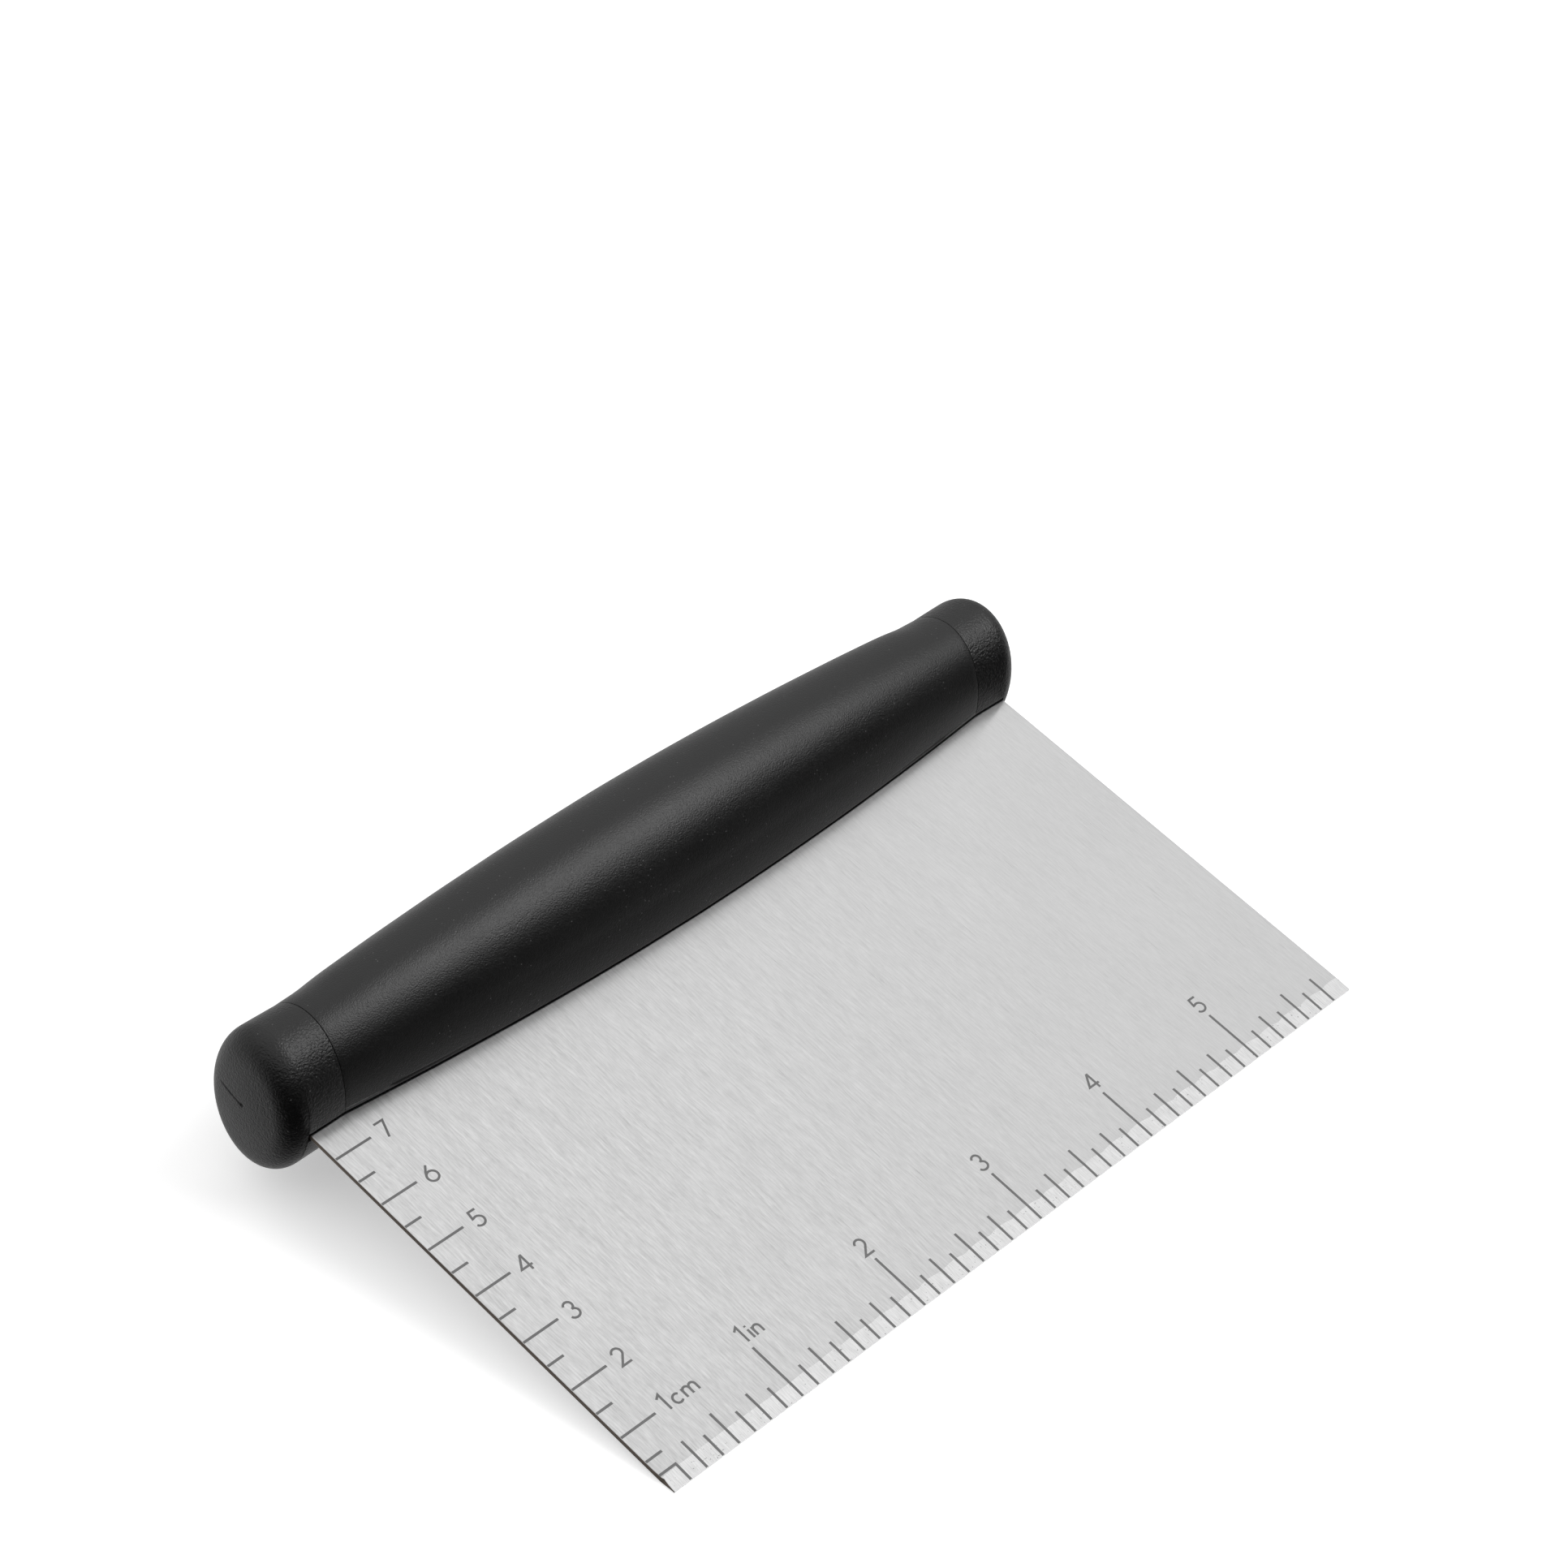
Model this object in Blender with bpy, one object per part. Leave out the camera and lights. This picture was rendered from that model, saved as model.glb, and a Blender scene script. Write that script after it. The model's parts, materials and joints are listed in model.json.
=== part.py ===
"""Bench scraper: a flat steel blade held in an oval barrel grip with two end caps.

The pieces are modelled in the blade's own frame and placed together by one empty, which lays
the scraper down at rest. In the blade's frame X runs along the scraping edge, Y from the edge
towards the grip and Z through the blade. Its origin is the middle of the edge, half way
through the blade's thickness.
"""

import math

import bmesh
import bpy

MM = 0.001
GAP = 0.3 * MM

# Blade
BLADE_WIDTH = 150.0 * MM
BLADE_THICKNESS = 1.0 * MM
FRONT_GRIND = 0.1 * MM
BACK_GRIND = 0.5 * MM
GROUND_STRIP = 2.8 * MM
SHOULDER_Y = 84.0 * MM
TANG_TOP_Y = 91.0 * MM
TANG_HALF_WIDTH = 58.0 * MM
TANG_THICKNESS = 0.94 * MM
CLEAR_OF_GRIP_Y = 72.0 * MM

# Grip: half heights are along Y, and every section is OVALITY times as deep along Z.
GRIP_Y = 86.0 * MM
GRIP_LENGTH = 160.0 * MM
OVALITY = 1.43
BARREL_HALF_HEIGHT = 12.2 * MM
BARREL_POWER = 1.85
SEAM_HALF_HEIGHT = 9.45 * MM
SEAM_X = 68.4 * MM
SEAM_GAP = 0.3 * MM
BORE_HALF_HEIGHT = 7.6 * MM

# End caps
CAP_END_HALF_HEIGHT = 9.55 * MM
CAP_FILLET = 4.2 * MM
CAP_DOME = 0.8 * MM
CAP_CENTRE_HALF_HEIGHT = 0.5 * MM
SPIGOT_LENGTH = 8.0 * MM

# Rivets, on Z axes through the middle of the grip
RIVET_SPACING = 44.0 * MM
RIVET_RADIUS = 1.5 * MM
RIVET_HEAD_RADIUS = 2.8 * MM
RIVET_HEAD_HEIGHT = 1.0 * MM
RIVET_HEAD_SIDE_HEIGHT = 0.6 * MM
RIVET_HEAD_SIDE_RADIUS = 2.5 * MM
RIVET_HEAD_TOP_RADIUS = 1.4 * MM
RIVET_HEAD_SEAT_Z = 8.2 * MM
RIVET_CUTTER_Z = 13.0 * MM

# Facets
OVAL_SEGMENTS = 56
BARREL_STATIONS = 19
CORE_SEGMENTS = 20
FILLET_STEPS = 6
DOME_STEPS = 3
RIVET_SEGMENTS = 20
SHARP_ANGLE = math.radians(35)

CUTTER_COLOUR = (0.5, 0.5, 0.5)

SLOT_HALF_DEPTH = BLADE_THICKNESS / 2 + GAP
CORE_HALF_HEIGHT = BORE_HALF_HEIGHT - GAP
SPIGOT_X = SEAM_X - SPIGOT_LENGTH
CORE_HALF_LENGTH = SPIGOT_X - GAP


def clear_scene():
    for obj in list(bpy.data.objects):
        bpy.data.objects.remove(obj, do_unlink=True)


def make_material(name, colour, roughness, metallic):
    material = bpy.data.materials.new(name)
    material.use_nodes = True
    shader = material.node_tree.nodes["Principled BSDF"]
    shader.inputs["Base Color"].default_value = (*colour, 1.0)
    shader.inputs["Roughness"].default_value = roughness
    shader.inputs["Metallic"].default_value = metallic
    return material


def rest_tilt():
    """The angle at which the ground edge and the belly of the grip touch one plane."""
    edge = BLADE_THICKNESS / 2 - BACK_GRIND
    belly = BARREL_HALF_HEIGHT * OVALITY
    a = GRIP_Y**2 - BARREL_HALF_HEIGHT**2
    b = 2 * GRIP_Y * edge
    c = edge**2 - belly**2
    return math.atan((-b + math.sqrt(b * b - 4 * a * c)) / (2 * a))


def make_rest_pose():
    """The empty that lays the scraper on z = 0, with its box centred on the origin."""
    tilt = rest_tilt()
    half = BLADE_THICKNESS / 2
    deep = BARREL_HALF_HEIGHT * OVALITY
    front = (FRONT_GRIND - half) * math.sin(tilt)
    reach = math.hypot(BARREL_HALF_HEIGHT * math.cos(tilt), deep * math.sin(tilt))
    back = GRIP_Y * math.cos(tilt) + reach
    empty = bpy.data.objects.new("rest_pose", None)
    empty.location = (0, -(front + back) / 2, (half - BACK_GRIND) * math.cos(tilt))
    empty.rotation_euler = (tilt, 0, 0)
    bpy.context.scene.collection.objects.link(empty)
    return empty


def add_object(name, mesh_builder, material, parent):
    mesh = bpy.data.meshes.new(name)
    bmesh.ops.recalc_face_normals(mesh_builder, faces=mesh_builder.faces)
    mesh_builder.to_mesh(mesh)
    mesh_builder.free()
    mesh.shade_smooth()
    mesh.set_sharp_from_angle(angle=SHARP_ANGLE)
    mesh.materials.append(material)
    obj = bpy.data.objects.new(name, mesh)
    obj.parent = parent
    bpy.context.scene.collection.objects.link(obj)
    return obj


def loft(rings):
    """A closed body through rings of equal length, with a flat face at each end."""
    builder = bmesh.new()
    loops = [[builder.verts.new(point) for point in ring] for ring in rings]
    count = len(rings[0])
    for first, second in zip(loops, loops[1:]):
        for i in range(count):
            j = (i + 1) % count
            builder.faces.new((first[i], first[j], second[j], second[i]))
    builder.faces.new(reversed(loops[0]))
    builder.faces.new(loops[-1])
    return builder


def box(low, high):
    xs, ys, zs = zip(low, high)
    return loft([[(x, ys[0], zs[0]), (x, ys[1], zs[0]), (x, ys[1], zs[1]), (x, ys[0], zs[1])] for x in xs])


def oval_ring(x, half_height):
    turns = [2 * math.pi * (i + 0.5) / OVAL_SEGMENTS for i in range(OVAL_SEGMENTS)]
    return [oval_point(x, half_height, turn) for turn in turns]


def oval_point(x, half_height, turn):
    """A point of the oval at x, where turn 0 is the side facing away from the blade."""
    y = GRIP_Y + half_height * math.cos(turn)
    return (x, y, half_height * OVALITY * math.sin(turn))


def disc_ring(centre_x, radius, z):
    turns = [2 * math.pi * i / RIVET_SEGMENTS for i in range(RIVET_SEGMENTS)]
    return [(centre_x + radius * math.cos(t), GRIP_Y + radius * math.sin(t), z) for t in turns]


def cut(obj, cutter):
    modifier = obj.modifiers.new("cut_" + cutter.name, "BOOLEAN")
    modifier.operation = "DIFFERENCE"
    modifier.solver = "EXACT"
    modifier.object = cutter


def add_cutter(name, mesh_builder, parent):
    material = make_material(name, CUTTER_COLOUR, roughness=0.5, metallic=0.0)
    cutter = add_object(name, mesh_builder, material, parent)
    cutter.hide_render = True
    cutter.display_type = "WIRE"
    return cutter


def barrel_half_height(x):
    """The barrel is fullest in the middle and slims towards both seams."""
    slimming = (abs(x) / SEAM_X) ** BARREL_POWER
    return BARREL_HALF_HEIGHT + (SEAM_HALF_HEIGHT - BARREL_HALF_HEIGHT) * slimming


def sleeve_ring(x):
    """A C-shaped section: round the outside from slot wall to slot wall, and back in the bore."""
    ring = []
    for half_height, step in ((barrel_half_height(x), 1), (BORE_HALF_HEIGHT, -1)):
        slot_turn = math.asin(SLOT_HALF_DEPTH / (half_height * OVALITY))
        sweep = 2 * (math.pi - slot_turn)
        turns = [slot_turn - math.pi + sweep * i / OVAL_SEGMENTS for i in range(OVAL_SEGMENTS + 1)]
        ring += [oval_point(x, half_height, turn) for turn in turns[::step]]
    return ring


def build_sleeve(material, parent):
    """The moulded barrel, slotted along its blade side from end to end."""
    half_length = SEAM_X - SEAM_GAP / 2
    stations = [half_length * (2 * i / (BARREL_STATIONS - 1) - 1) for i in range(BARREL_STATIONS)]
    add_object("grip_sleeve", loft([sleeve_ring(x) for x in stations]), material, parent)


def cap_profile():
    """(x, half height) from the spigot's inner end, over the shoulder and round to the end face."""
    shoulder_x = SEAM_X + SEAM_GAP / 2
    fillet_x = GRIP_LENGTH / 2 - CAP_DOME - CAP_FILLET
    face_half_height = CAP_END_HALF_HEIGHT - CAP_FILLET
    profile = [(SPIGOT_X, CORE_HALF_HEIGHT), (shoulder_x, CORE_HALF_HEIGHT)]
    profile.append((shoulder_x, SEAM_HALF_HEIGHT))
    for i in range(FILLET_STEPS + 1):
        turn = math.pi / 2 * i / FILLET_STEPS
        rise = CAP_FILLET * math.sin(turn)
        profile.append((fillet_x + rise, face_half_height + CAP_FILLET * math.cos(turn)))
    for i in range(1, DOME_STEPS + 1):
        inward = i / DOME_STEPS
        bulge = CAP_DOME * (1 - (1 - inward) ** 2)
        height = face_half_height + (CAP_CENTRE_HALF_HEIGHT - face_half_height) * inward
        profile.append((fillet_x + CAP_FILLET + bulge, height))
    return profile


def build_end_caps(material, parent):
    """A plug for each end of the sleeve, notched where it takes the corner of the blade."""
    slot = box(
        (-BLADE_WIDTH / 2 - GAP, 0, -SLOT_HALF_DEPTH),
        (BLADE_WIDTH / 2 + GAP, SHOULDER_Y + GAP, SLOT_HALF_DEPTH),
    )
    cutter = add_cutter("blade_slot_cutter", slot, parent)
    for name, side in (("end_cap_left", -1), ("end_cap_right", 1)):
        rings = [oval_ring(side * x, half_height) for x, half_height in cap_profile()]
        cut(add_object(name, loft(rings), material, parent), cutter)


def add_rivet_cutters(parent):
    """A clearance hole with a counterbore at each end, for each rivet."""
    steps = [
        (RIVET_CUTTER_Z, RIVET_HEAD_RADIUS + GAP),
        (RIVET_HEAD_SEAT_Z - GAP, RIVET_HEAD_RADIUS + GAP),
        (RIVET_HEAD_SEAT_Z - GAP, RIVET_RADIUS + GAP),
    ]
    steps += [(-z, radius) for z, radius in reversed(steps)]
    cutters = []
    for index, x in enumerate(rivet_places().values()):
        rings = [disc_ring(x, radius, z) for z, radius in steps]
        cutters.append(add_cutter(f"rivet_cutter_{index}", loft(rings), parent))
    return cutters


def rivet_places():
    return {"rivet_left": -RIVET_SPACING, "rivet_middle": 0.0, "rivet_right": RIVET_SPACING}


def build_rivets(material, parent):
    """Rivets with a low domed head at each end, which clamp the cores on the tang."""
    steps = [
        (RIVET_HEAD_SEAT_Z + RIVET_HEAD_HEIGHT, RIVET_HEAD_TOP_RADIUS),
        (RIVET_HEAD_SEAT_Z + RIVET_HEAD_SIDE_HEIGHT, RIVET_HEAD_SIDE_RADIUS),
        (RIVET_HEAD_SEAT_Z, RIVET_HEAD_RADIUS),
        (RIVET_HEAD_SEAT_Z, RIVET_RADIUS),
    ]
    steps += [(-z, radius) for z, radius in reversed(steps)]
    for name, x in rivet_places().items():
        add_object(name, loft([disc_ring(x, radius, z) for z, radius in steps]), material, parent)


def core_ring(x, side):
    """A half oval whose flat lies against the tang."""
    slot_turn = math.asin(SLOT_HALF_DEPTH / (CORE_HALF_HEIGHT * OVALITY))
    sweep = math.pi - 2 * slot_turn
    turns = [slot_turn + sweep * i / CORE_SEGMENTS for i in range(CORE_SEGMENTS + 1)]
    return [oval_point(x, CORE_HALF_HEIGHT, side * turn) for turn in turns]


def build_cores(material, parent, rivet_cutters):
    """The two rods that fill the sleeve and grip the tang between them."""
    for name, side in (("core_front", 1), ("core_back", -1)):
        rings = [core_ring(x, side) for x in (-CORE_HALF_LENGTH, CORE_HALF_LENGTH)]
        core = add_object(name, loft(rings), material, parent)
        for cutter in rivet_cutters:
            cut(core, cutter)


def sheet_rows():
    """(y, z of the back, z of the front) from the edge to the top of the tang, which is eased
    from just outside the grip so that it slides into its slot."""
    half = BLADE_THICKNESS / 2
    tang_half = TANG_THICKNESS / 2
    return [
        (0.0, BACK_GRIND - half, half - FRONT_GRIND),
        (GROUND_STRIP, -half, half),
        (CLEAR_OF_GRIP_Y, -half, half),
        (SHOULDER_Y, -tang_half, tang_half),
        (TANG_TOP_Y, -tang_half, tang_half),
    ]


def blade_sheet():
    """The sheet as a grid of cells, with the corners beside the tang left out."""
    xs = [-BLADE_WIDTH / 2, -TANG_HALF_WIDTH, TANG_HALF_WIDTH, BLADE_WIDTH / 2]
    backs = [(y, back) for y, back, _ in sheet_rows()]
    fronts = [(y, front) for y, _, front in sheet_rows()]
    builder = bmesh.new()
    for rows in (backs, fronts):
        grid = {}
        for j, (y, z) in enumerate(rows):
            columns = xs if y <= SHOULDER_Y else xs[1:-1]
            grid.update({(x, j): builder.verts.new((x, y, z)) for x in columns})
        for left, right in zip(xs, xs[1:]):
            for j in range(len(rows) - 1):
                corners = [(left, j), (right, j), (right, j + 1), (left, j + 1)]
                if all(corner in grid for corner in corners):
                    builder.faces.new([grid[corner] for corner in corners])
    rims = [edge for edge in builder.edges if edge.is_boundary]
    bmesh.ops.bridge_loops(builder, edges=rims)
    return builder


def build_blade(material, parent, rivet_cutters):
    """The sheet, ground thin along its edge, mostly from the back, and pierced for the rivets."""
    blade = add_object("blade", blade_sheet(), material, parent)
    for cutter in rivet_cutters:
        cut(blade, cutter)


def main():
    clear_scene()
    steel = make_material("brushed_steel", (0.62, 0.62, 0.62), 0.38, 1.0)
    rivet_steel = make_material("rivet_steel", (0.5, 0.5, 0.5), 0.45, 1.0)
    black_plastic = make_material("black_plastic", (0.014, 0.014, 0.015), 0.42, 0.0)
    core_plastic = make_material("core_plastic", (0.03, 0.03, 0.032), 0.6, 0.0)
    rest_pose = make_rest_pose()
    rivet_cutters = add_rivet_cutters(rest_pose)
    build_blade(steel, rest_pose, rivet_cutters)
    build_cores(core_plastic, rest_pose, rivet_cutters)
    build_rivets(rivet_steel, rest_pose)
    build_sleeve(black_plastic, rest_pose)
    build_end_caps(black_plastic, rest_pose)


main()
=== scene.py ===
"""The looks of a bench scraper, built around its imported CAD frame.

Every shape is worked out in the blade's own frame, in metres: X runs along the scraping edge, Y
from the edge towards the grip and Z out of the ruled face. The origin is the middle of the edge,
half way through the sheet. The pieces made here stand in that frame, so an Object coordinate in
their materials is a place on the blade. The floor and the CAD nodes that are kept, which are
hidden in the grip, stand in the row frame.
"""

import json
import math

import bmesh
import bpy
from mathutils import Matrix, Vector, noise


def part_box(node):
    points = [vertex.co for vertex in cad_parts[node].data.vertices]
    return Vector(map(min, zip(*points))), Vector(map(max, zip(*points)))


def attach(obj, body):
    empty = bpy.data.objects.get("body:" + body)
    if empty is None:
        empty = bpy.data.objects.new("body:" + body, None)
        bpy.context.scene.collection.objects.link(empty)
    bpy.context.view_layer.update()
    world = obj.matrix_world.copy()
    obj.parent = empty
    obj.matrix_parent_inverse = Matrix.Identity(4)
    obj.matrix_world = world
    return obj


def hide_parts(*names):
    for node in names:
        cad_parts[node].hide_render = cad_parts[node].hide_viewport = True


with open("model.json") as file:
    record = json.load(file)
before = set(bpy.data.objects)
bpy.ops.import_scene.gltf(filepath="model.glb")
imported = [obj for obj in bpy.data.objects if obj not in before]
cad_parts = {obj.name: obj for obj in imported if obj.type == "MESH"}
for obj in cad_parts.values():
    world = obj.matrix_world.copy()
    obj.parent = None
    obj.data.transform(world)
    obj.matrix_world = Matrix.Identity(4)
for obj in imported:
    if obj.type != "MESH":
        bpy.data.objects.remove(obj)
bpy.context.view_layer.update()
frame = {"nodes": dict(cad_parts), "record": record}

MM = 0.001
CM = 10 * MM
INCH = 25.4 * MM
SHARP_ANGLE = math.radians(40)

# Blade, as in the CAD
BLADE_WIDTH = 150.0 * MM
BLADE_THICKNESS = 1.0 * MM
FRONT_GRIND = 0.1 * MM
BACK_GRIND = 0.5 * MM
GROUND_STRIP = 2.8 * MM
SHOULDER_Y = 84.0 * MM
TANG_TOP_Y = 91.0 * MM
TANG_HALF_WIDTH = 58.0 * MM
TANG_THICKNESS = 0.94 * MM
CLEAR_OF_GRIP_Y = 72.0 * MM
MOUNT_Y = 30.0 * MM
RIVET_HOLE_RADIUS = 1.8 * MM

# Blade, what grinding and shearing leave on it
STRIP_WAVE = 0.34 * MM
SCALLOP_PITCH = 5.2 * MM
SHEAR_ROUNDING = 0.10 * MM
NICK_DEPTH = 0.32 * MM
NICK_STEEPNESS = 8
SCALLOP_JITTER = 0.35
SCALLOPS_TO_FULL_DEPTH = 7
STRIP_DRIFT_PITCH = 18.0 * MM
EDGE_RAGGEDNESS = 0.02 * MM
COLUMN_PITCH = 0.5 * MM
ROW_PITCH = 2.0 * MM
STRIP_ROWS = 8
FIRST_PLAIN_ROW = 4.4 * MM
HOLE_SEGMENTS = 48
BRUSHED, GROUND, SHEARED, EDGE = range(4)

# Grip, as in the CAD
GRIP_Y = 86.0 * MM
GRIP_LENGTH = 160.0 * MM
OVALITY = 1.43
BARREL_HALF_HEIGHT = 12.2 * MM
BARREL_POWER = 1.85
SEAM_HALF_HEIGHT = 9.45 * MM
SEAM_X = 68.4 * MM
BORE_HALF_HEIGHT = 7.6 * MM
SPIGOT_HALF_HEIGHT = 7.3 * MM
SPIGOT_X = 60.4 * MM
SLOT_HALF_DEPTH = 0.8 * MM
SLOT_FLOOR_Y = 84.3 * MM
SLOT_END_X = 75.3 * MM
CAP_END_HALF_HEIGHT = 9.55 * MM
CAP_FILLET = 4.2 * MM
CAP_DOME = 0.8 * MM
CAP_FACE_TILT = math.radians(10)

# Grip, what moulding leaves on it
SEAM_GAP = 0.06 * MM
SEAM_ROUNDING = 0.07 * MM
FLARE_START_Z = 7.5 * MM
FLARE_REACH = 0.78 * MM
FLARE_REACH_AT_SEAM = 0.10 * MM
FLARE_POWER = 1.2
LIP_START_Z = 1.9 * MM
LIP_ROUNDING = 0.14 * MM
LIP_GROOVE_Z = 1.58 * MM
LIP_GROOVE_HALF_WIDTH = 0.16 * MM
LIP_GROOVE_FLOOR_HALF_WIDTH = 0.08 * MM
LIP_GROOVE_DEPTH = 0.12 * MM
LIP_GROOVE_END_X = 44.0 * MM
SWEEP_STEPS = 220
ARRIS_STEPS = 5
STATION_PITCH = 0.9 * MM
PROFILE_PITCH = 0.2 * MM
PROFILE_SMOOTHING = 6
SLOT_END_STEP = 0.03 * MM
SKIN_WAVE = 0.02 * MM
SKIN_WAVE_LENGTH = 9.0 * MM
SKIN_WAVE_WIDTH = 6.0 * MM
SINK_X = 64.0 * MM
SINK_HALF_LENGTH = 3.0 * MM
SINK_TURN = math.radians(50)
SINK_HALF_TURN = math.radians(40)
SINK_DEPTH = 0.18 * MM
GATE_Y = 86.3 * MM
GATE_Z = 0.85 * MM
GATE_RADIUS = 0.25 * MM
GATE_LINE_END = 5.2 * MM
GATE_LINE_SLOPE = 0.05
GATE_LINE_HALF_WIDTH = 0.13 * MM
GATE_LINE_SHARE = 0.8
GATE_DEPTH = 0.28 * MM
DIMPLE = Vector((78.0 * MM, 76.9 * MM, 1.3 * MM))
DIMPLE_RADIUS = 0.5 * MM
DIMPLE_DEPTH = 0.30 * MM

# Ruler marks
MARK_WIDTH = 0.42 * MM
NUMERAL_WIDTH = 0.37 * MM
NUMERAL_HEIGHT = 3.0 * MM
LETTER_SPACING = 0.17
ARC_STEP_DEGREES = 12
MARK_LIFT = 0.02 * MM
MARK_STAGGER = 0.002 * MM
MARK_SINK = 0.01 * MM
MARK_STEP = 0.2 * MM
MARK_SIDE_INSET = 0.05 * MM
MARK_EDGE_INSET = 0.06 * MM
MITRE_LIMIT = 2.5
INCH_MARKS = 46
HALF_CM_MARKS = 14
INCH_TICKS = {8: 10.3 * MM, 4: 6.1 * MM, 2: 5.3 * MM, 1: 4.1 * MM}
INCH_NUMERAL_RISE = 2.55 * MM
INCH_LABEL_SHIFT = 1.6 * MM
CM_TICK = 6.7 * MM
HALF_CM_TICK = 3.1 * MM
CM_ZERO_Y = 0.9 * MM
CM_NUMERAL_SHIFT = 2.6 * MM
CM_LABEL_SHIFT = 4.8 * MM
CM_LABEL_RISE = 0.6 * MM

# Steel finishes
STEEL_GREY = 0.71
STEEL_ROUGHNESS = 0.30
STREAKS_AT_LEFT = 1.38
STREAKS_LOST_BY_RIGHT = 0.82
STRIP_GREY = 0.88
STRIP_ROUGHNESS = 0.30
# Near-white grey of the scraping edge's rim: a painted reflection of the white table, not the steel's own
# colour
EDGE_PAINTED_REFLECTION_GREY = 0.90
SHEARED_GREY = 0.15
SHEARED_TINT = (1.0, 0.82, 0.68)
INK_GREY = 0.125
RIVET_GREY = 0.50

# Plastic finishes; a texture is its pitch and its height
PLASTIC_GREY = 0.0012
PLASTIC_ROUGHNESS = 0.36
PLASTIC_IOR = 1.49
GRIP_TEXTURE = (0.22 * MM, 0.070 * MM)
CAP_TEXTURE = (0.34 * MM, 0.140 * MM)
DUST_PITCH = 0.9 * MM
DUST_RADIUS = 0.10 * MM
DUST_SHARE = 0.8
CORE_GREY = 0.030

# Stage
FLOOR_REACH = 12.0
FLOOR_GREY = 0.80
FLOOR_GLOW = 0.40
BACK_OF_ROOM = (0.30, 0.95, 0.0)
BACK_LIGHT = 0.50
HIGH_BACK_LIGHT = 0.58
LOW_BACK_LIGHT = 0.26
HIGH_FRONT_LIGHT = 0.86
DARKEST_LIGHT = 0.015
SOFTBOX_DIRECTION = (0.43, -0.48, 0.78)
SOFTBOX_DISTANCE = 0.9
SOFTBOX_SIZE = (0.52, 0.62)
SOFTBOX_POWER = 3.7

# Camera
CAMERA_TARGET = (38.1 * MM, 40.57 * MM, 10.0 * MM)
CAMERA_DISTANCE = 674.2 * MM
CAMERA_AZIMUTH = math.radians(-47.83)
CAMERA_ELEVATION = math.radians(38.80)
CAMERA_ROLL = math.radians(-2.90)
CAMERA_LENS = 95.4


# ---------------------------------------------------------------- the blade's frame


def blade_frame():
    """The matrix from the blade's frame to the row frame, from the mount on the ruled face."""
    mount = next(m for m in frame["record"]["mounts"] if m["name"] == "blade_front_face")
    across = Vector((1, 0, 0))
    out = Vector(mount["axis"]).normalized()
    along = out.cross(across)
    origin = Vector(mount["pos_m"]) - along * MOUNT_Y - out * (BLADE_THICKNESS / 2)
    return Matrix.Translation(origin) @ Matrix((across, along, out)).transposed().to_4x4()


def add_object(name, points, faces, materials):
    """A mesh object in the blade's frame, shaded smooth with its sharp edges kept."""
    mesh = bpy.data.meshes.new(name)
    mesh.from_pydata(points, [], faces)
    for material in materials:
        mesh.materials.append(material)
    builder = bmesh.new()
    builder.from_mesh(mesh)
    bmesh.ops.recalc_face_normals(builder, faces=builder.faces)
    builder.to_mesh(mesh)
    builder.free()
    mesh.shade_smooth()
    mesh.set_sharp_from_angle(angle=SHARP_ANGLE)
    obj = bpy.data.objects.new(name, mesh)
    bpy.context.scene.collection.objects.link(obj)
    obj.matrix_world = blade_frame()
    return obj


def lay_out_grain(obj):
    """A UV layer with U across the grain and V along it."""
    layer = obj.data.uv_layers.new(name="grain")
    for loop in obj.data.loops:
        place = obj.data.vertices[loop.vertex_index].co
        layer.data[loop.index].uv = (place.x / BLADE_WIDTH, place.y / BLADE_WIDTH)


def add_piece(name, points, faces, materials, stands_for=()):
    """A piece that rides with the root body, in place of the CAD nodes that it stands for."""
    obj = add_object(name, points, faces, materials)
    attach(obj, "root")
    if stands_for:
        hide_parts(*stands_for)
    return obj


def wave(*place):
    """Smooth noise from -1 to 1."""
    return noise.noise(Vector(place + (0.0,) * (3 - len(place))))


def steps(low, high, pitch):
    """Evenly spaced values from low to high, about pitch apart."""
    count = max(1, round((high - low) / pitch))
    return [low + (high - low) * i / count for i in range(count + 1)]


def loft_faces(rings, first=0):
    """Quads between rings of equal length, and a face over each end."""
    count = len(rings[0])
    faces = []
    for k in range(len(rings) - 1):
        low = first + k * count
        for i in range(count):
            j = (i + 1) % count
            faces.append((low + i, low + j, low + count + j, low + count + i))
    last = first + (len(rings) - 1) * count
    faces.append(tuple(range(first + count - 1, first - 1, -1)))
    faces.append(tuple(range(last, last + count)))
    return faces


# ---------------------------------------------------------------- blade


def strip_height(x):
    """How far the ground strip reaches up the ruled face: shallow arcs that meet in cusps."""
    place = (x + BLADE_WIDTH / 2) / SCALLOP_PITCH
    place += SCALLOP_JITTER * wave(place * 0.7, 3.0)
    arc = 1 - (2 * (place % 1) - 1) ** 2
    depth = min(1.0, max(0.15, place / SCALLOPS_TO_FULL_DEPTH - 0.5))
    drift = wave(x / STRIP_DRIFT_PITCH, 7.0)
    return GROUND_STRIP + STRIP_WAVE * (depth * (arc - 0.5) + 0.5 * drift)


def front_z(x, y):
    """Height of the ruled face, with its strip ground slightly down towards the edge."""
    ground = FRONT_GRIND * (1 - min(1.0, max(0.0, y) / strip_height(x)))
    return half_thickness(y) - ground


def back_z(y):
    """Height of the back, which is ground away more steeply towards the edge."""
    ground = BACK_GRIND * (1 - min(1.0, max(0.0, y) / GROUND_STRIP))
    return ground - half_thickness(y)


def half_thickness(y):
    """Half the sheet's thickness before grinding; the tang is eased to slide into its slot."""
    eased = min(1.0, max(0.0, (y - CLEAR_OF_GRIP_Y) / (SHOULDER_Y - CLEAR_OF_GRIP_Y)))
    return (BLADE_THICKNESS - eased * (BLADE_THICKNESS - TANG_THICKNESS)) / 2


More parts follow.
